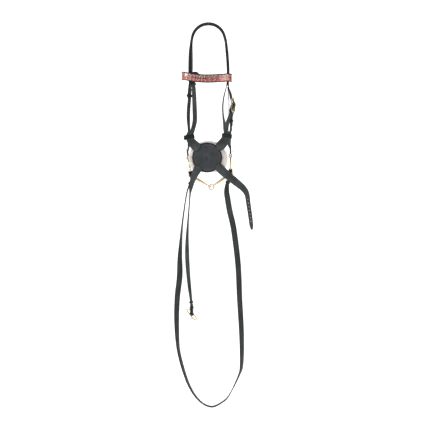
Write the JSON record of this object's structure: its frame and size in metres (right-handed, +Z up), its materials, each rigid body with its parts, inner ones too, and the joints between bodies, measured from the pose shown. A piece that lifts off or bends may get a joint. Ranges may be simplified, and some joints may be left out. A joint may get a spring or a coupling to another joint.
{
  "type": "riding bridle",
  "caption": "Leather riding bridle with a crossed noseband and round nose disc, jeweled browband, jointed loose-ring bit and one looped rein, hung by its crown.",
  "frame": {"origin": "centre of the round hanger that the crown arch hangs on", "axes": "+Z up along the hanging bridle, +Y along the hanger's axis and away from the front, +X across the face to the viewer's right"},
  "size_m": [0.2616, 0.0996, 1.2681],
  "materials": {
    "strap_leather": "black bridle leather, satin",
    "rein_leather": "black rein leather, satin",
    "keeper_leather": "black leather, satin",
    "browband_leather": "black leather, satin",
    "disc_leather": "smooth black leather",
    "edge_piping": "black rolled piping",
    "stones": "cut red, rose and clear glass stones",
    "sheepskin": "cream sheepskin pile",
    "buckle_metal": "polished pale brass",
    "bit_metal": "polished pale gold bit metal"
  },
  "bodies": {
    "root": {"headpiece": "strap_leather", "noseband_headstrap": "strap_leather", "browband_band": "browband_leather", "browband_loop_left": "browband_leather", "browband_loop_right": "browband_leather", "browband_channel": "edge_piping", "browband_stones": "stones", "cheekpiece_left": "strap_leather", "cheekpiece_right": "strap_leather", "cheek_buckle": "buckle_metal", "cheek_keeper_left": "keeper_leather", "cheek_keeper_right": "keeper_leather", "hook_studs": "buckle_metal", "throatlash": "strap_leather", "throat_buckle": "buckle_metal", "throat_keeper": "keeper_leather", "nose_disc": "disc_leather", "nose_disc_rim": "disc_leather", "nose_pad": "sheepskin", "noseband_arm_left": "strap_leather", "noseband_arm_right": "strap_leather", "noseband_loop_left": "keeper_leather", "noseband_loop_right": "keeper_leather", "noseband_tab": "strap_leather", "lower_strap": "strap_leather", "lower_billet": "strap_leather", "chin_turn": "keeper_leather", "chin_keeper": "keeper_leather", "rein": "rein_leather", "rein_turn_left": "rein_leather", "rein_turn_right": "rein_leather", "rein_keepers": "rein_leather"},
    "bit_ring_left": {"bit_ring_left": "bit_metal"},
    "bit_ring_right": {"bit_ring_right": "bit_metal"},
    "cannon_left": {"cannon_left": "bit_metal"},
    "cannon_right": {"cannon_right": "bit_metal"},
    "chin_buckle": {"chin_buckle": "buckle_metal"},
    "chin_tongue": {"chin_tongue": "buckle_metal"},
    "chin_slider": {"chin_slider": "keeper_leather"},
    "cheek_tongue": {"cheek_tongue": "buckle_metal"},
    "throat_tongue": {"throat_tongue": "buckle_metal"},
    "cheek_slider": {"cheek_slider": "keeper_leather"}
  },
  "joints": [
    {"name": "bit_swing_left", "type": "hinge", "parent": "root", "child": "bit_ring_left", "pos_m": [-0.063, 0.03, -0.416], "axis": [0.9903, 0, 0.1392], "range_deg": [-2, 20]},
    {"name": "bit_swing_right", "type": "hinge", "parent": "root", "child": "bit_ring_right", "pos_m": [0.073, 0.03, -0.409], "axis": [1, 0, 0], "range_deg": [-2.1, 20.6]},
    {"name": "bit_fold_left", "type": "hinge", "parent": "bit_ring_left", "child": "cannon_left", "pos_m": [-0.05889, 0.03, -0.44521], "axis": [0, 1, 0], "range_deg": [-2, 1.2]},
    {"name": "bit_fold_right", "type": "hinge", "parent": "bit_ring_right", "child": "cannon_right", "pos_m": [0.073, 0.03, -0.4385], "axis": [0, 1, 0], "range_deg": [-1.4, 2.2]},
    {"name": "chin_buckle_pivot", "type": "hinge", "parent": "root", "child": "chin_buckle", "pos_m": [-0.055, -0.02, -0.902], "axis": [0.5, 0.866, 0], "range_deg": [-45, 18]},
    {"name": "chin_tongue_pivot", "type": "hinge", "parent": "chin_buckle", "child": "chin_tongue", "pos_m": [-0.055, -0.02, -0.902], "axis": [0.5, 0.866, 0], "range_deg": [-30, 60]},
    {"name": "chin_keeper_slide", "type": "slide", "parent": "root", "child": "chin_slider", "axis": [-0.0872, 0, 0.9962], "range_m": [-0.003, 0.005]},
    {"name": "cheek_tongue_lift", "type": "hinge", "parent": "root", "child": "cheek_tongue", "pos_m": [0.08, -0.014, -0.214], "axis": [0.3746, 0.9272, 0], "range_deg": [0, 12]},
    {"name": "throat_tongue_lift", "type": "hinge", "parent": "root", "child": "throat_tongue", "pos_m": [0.08, 0.012, -0.226], "axis": [0, 1, 0], "range_deg": [0, 12]},
    {"name": "cheek_keeper_slide", "type": "slide", "parent": "root", "child": "cheek_slider", "axis": [0, 0, 1], "range_m": [-0.004, 0.008]}
  ],
  "couplings": [
    {"joint": "bit_swing_right", "follows": "bit_swing_left", "ratio": 1.03},
    {"joint": "bit_fold_right", "follows": "bit_fold_left", "ratio": -1.07}
  ]
}
